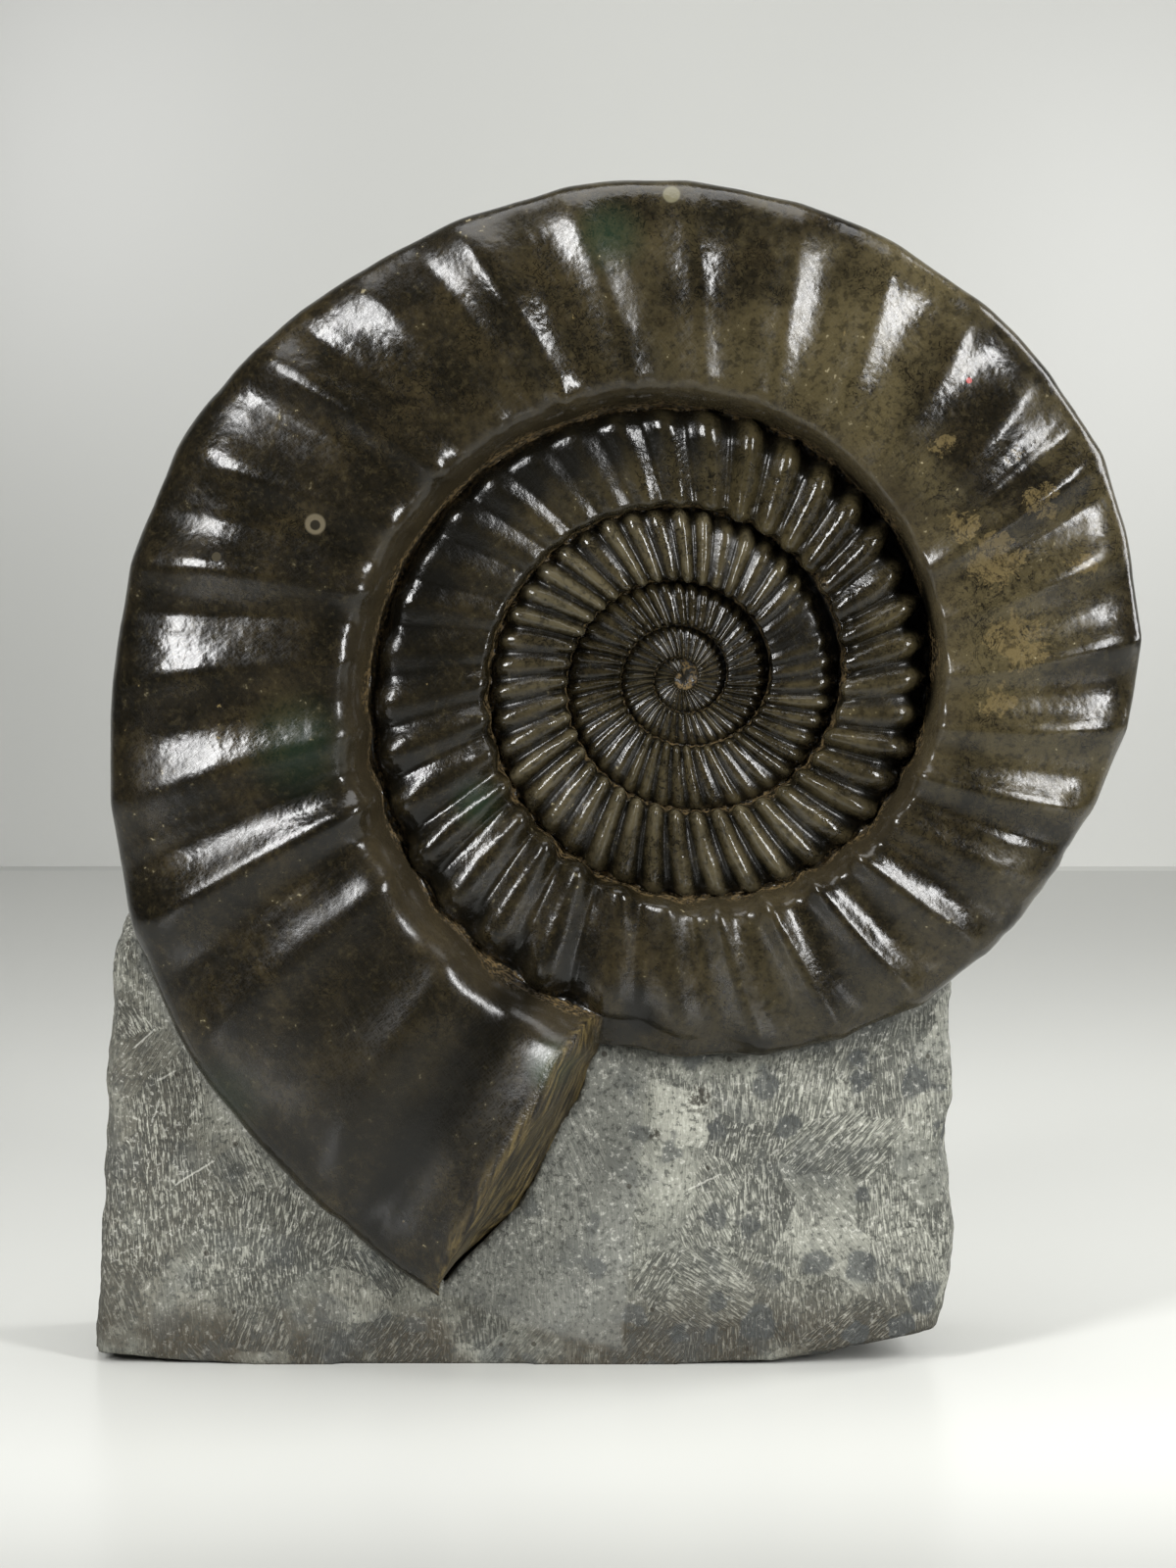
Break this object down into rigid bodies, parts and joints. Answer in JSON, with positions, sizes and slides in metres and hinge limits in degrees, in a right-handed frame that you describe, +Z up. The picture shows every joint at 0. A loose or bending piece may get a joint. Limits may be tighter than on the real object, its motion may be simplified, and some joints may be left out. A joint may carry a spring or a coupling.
{
  "type": "ammonite fossil",
  "caption": "Large ribbed ammonite fossil coiled flat with a sunken centre, dark and polished, standing in the rough block of grey limestone it was freed from.",
  "frame": {"origin": "middle of the bounding box, on the surface that the block stands on", "axes": "+Z up, +X to the right as the coil's show side is seen, -Y out of the show side towards the viewer"},
  "size_m": [0.4462, 0.1446, 0.5011],
  "materials": {
    "ammonite": "polished fossil shell, dark olive brown",
    "matrix": "tooled grey limestone, dull"
  },
  "bodies": {
    "root": {"ammonite": "ammonite", "matrix": "matrix"}
  },
  "joints": []
}
